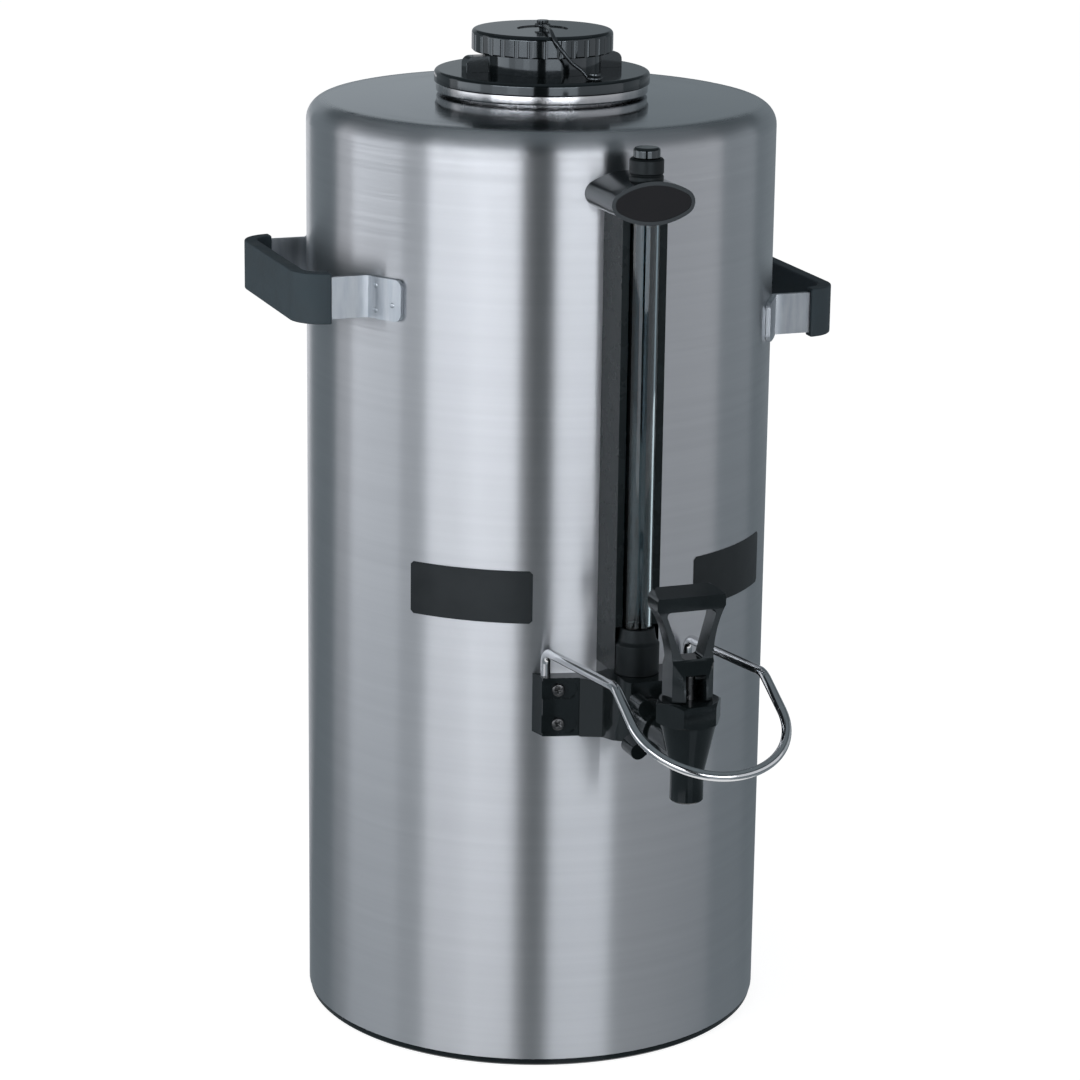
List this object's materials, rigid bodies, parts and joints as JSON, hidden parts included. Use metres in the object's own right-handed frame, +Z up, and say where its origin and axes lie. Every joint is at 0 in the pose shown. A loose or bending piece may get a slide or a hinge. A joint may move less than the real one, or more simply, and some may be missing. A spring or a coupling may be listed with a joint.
{
  "type": "coffee server",
  "caption": "Tall insulated steel coffee server with a sight gauge, a lever faucet inside a wire guard, two side handles and a screw-capped lid.",
  "frame": {"origin": "centre of the base's underside, on the axis of the body", "axes": "+Z up along the body's axis, -Y towards the faucet, +X to the right seen from the front"},
  "size_m": [0.292, 0.3902, 0.5206],
  "materials": {
    "brushed_steel": "brushed round the body, satin",
    "polished_steel": "polished",
    "black_gloss": "glossy moulded",
    "black_satin": "satin moulded",
    "grip_rubber": "matte",
    "seal_rubber": "matte",
    "strap_plastic": "flexible, satin",
    "gauge_glass": "clear",
    "badge_insert": "glossy, bare"
  },
  "bodies": {
    "server": {"base_pan": "black_satin", "shell_wall": "brushed_steel", "shell_top": "brushed_steel", "neck_collar": "polished_steel", "liner_wall": "brushed_steel", "liner_floor": "brushed_steel", "liner_top": "brushed_steel", "jacket_bottom": "brushed_steel", "outlet_tube": "brushed_steel", "gauge_shield": "black_satin", "gauge_tube": "gauge_glass", "gauge_boss": "black_gloss", "badge_insert": "badge_insert", "gauge_sleeve": "black_satin", "gauge_collar": "black_satin", "gauge_seal_lower": "seal_rubber", "gauge_seal_upper": "seal_rubber", "faucet_bracket": "black_satin", "bracket_screws": "polished_steel", "guard_wire": "polished_steel", "faucet_shank": "black_satin", "shank_gasket": "seal_rubber", "faucet_body": "black_satin", "faucet_bonnet": "black_satin", "faucet_spring": "polished_steel", "handle_bracket_left": "brushed_steel", "handle_bracket_right": "brushed_steel", "handle_grip_left": "grip_rubber", "handle_grip_right": "grip_rubber"},
    "valve": {"valve_stem": "polished_steel", "seat_cup": "seal_rubber", "handle_pin": "polished_steel"},
    "lever": {"faucet_handle": "black_gloss"},
    "hand_nut": {"hand_nut": "black_satin"},
    "lid_seal": {"lid_gasket": "seal_rubber"},
    "lid": {"lid_ring": "black_gloss", "tether_anchor": "black_gloss", "tether": "strap_plastic"},
    "cap_seal": {"cap_gasket": "seal_rubber"},
    "cap": {"screw_cap": "black_gloss"},
    "gauge_plug": {"gauge_cap": "black_gloss"}
  },
  "joints": [
    {"name": "stem_lift", "type": "slide", "parent": "server", "child": "valve", "axis": [0, 0, 1], "range_m": [0, 0.0021], "deforming": ["faucet_spring"]},
    {"name": "lever_tilt", "type": "hinge", "parent": "valve", "child": "lever", "pos_m": [0, -0.211, 0.2345], "axis": [1, 0, 0], "range_deg": [0, 24], "stiffness_Nm_per_rad": 0.0375, "springref_deg": -28.65},
    {"name": "nut_turn", "type": "hinge", "parent": "server", "child": "hand_nut", "pos_m": [0, -0.172, 0.198], "axis": [0, 1, 0], "continuous": true},
    {"name": "lid_lift", "type": "slide", "parent": "server", "child": "lid_seal", "axis": [0, 0, 1], "range_m": [0, 0.12]},
    {"name": "lid_turn", "type": "hinge", "parent": "lid_seal", "child": "lid", "pos_m": [0, 0, 0.49], "axis": [0, 0, 1], "range_deg": [0, 45]},
    {"name": "cap_rise", "type": "slide", "parent": "lid", "child": "cap_seal", "axis": [0, 0, 1], "range_m": [0, 0.0061], "deforming": ["tether"]},
    {"name": "cap_turn", "type": "hinge", "parent": "cap_seal", "child": "cap", "pos_m": [0, 0, 0.51], "axis": [0, 0, 1], "range_deg": [0, 360]},
    {"name": "vent_pull", "type": "slide", "parent": "server", "child": "gauge_plug", "axis": [0, 0, 1], "range_m": [0, 0.02]}
  ],
  "couplings": [
    {"joint": "stem_lift", "follows": "lever_tilt", "m_per_rad": 0.005},
    {"joint": "cap_rise", "follows": "cap_turn", "m_per_rad": 0.000955}
  ]
}
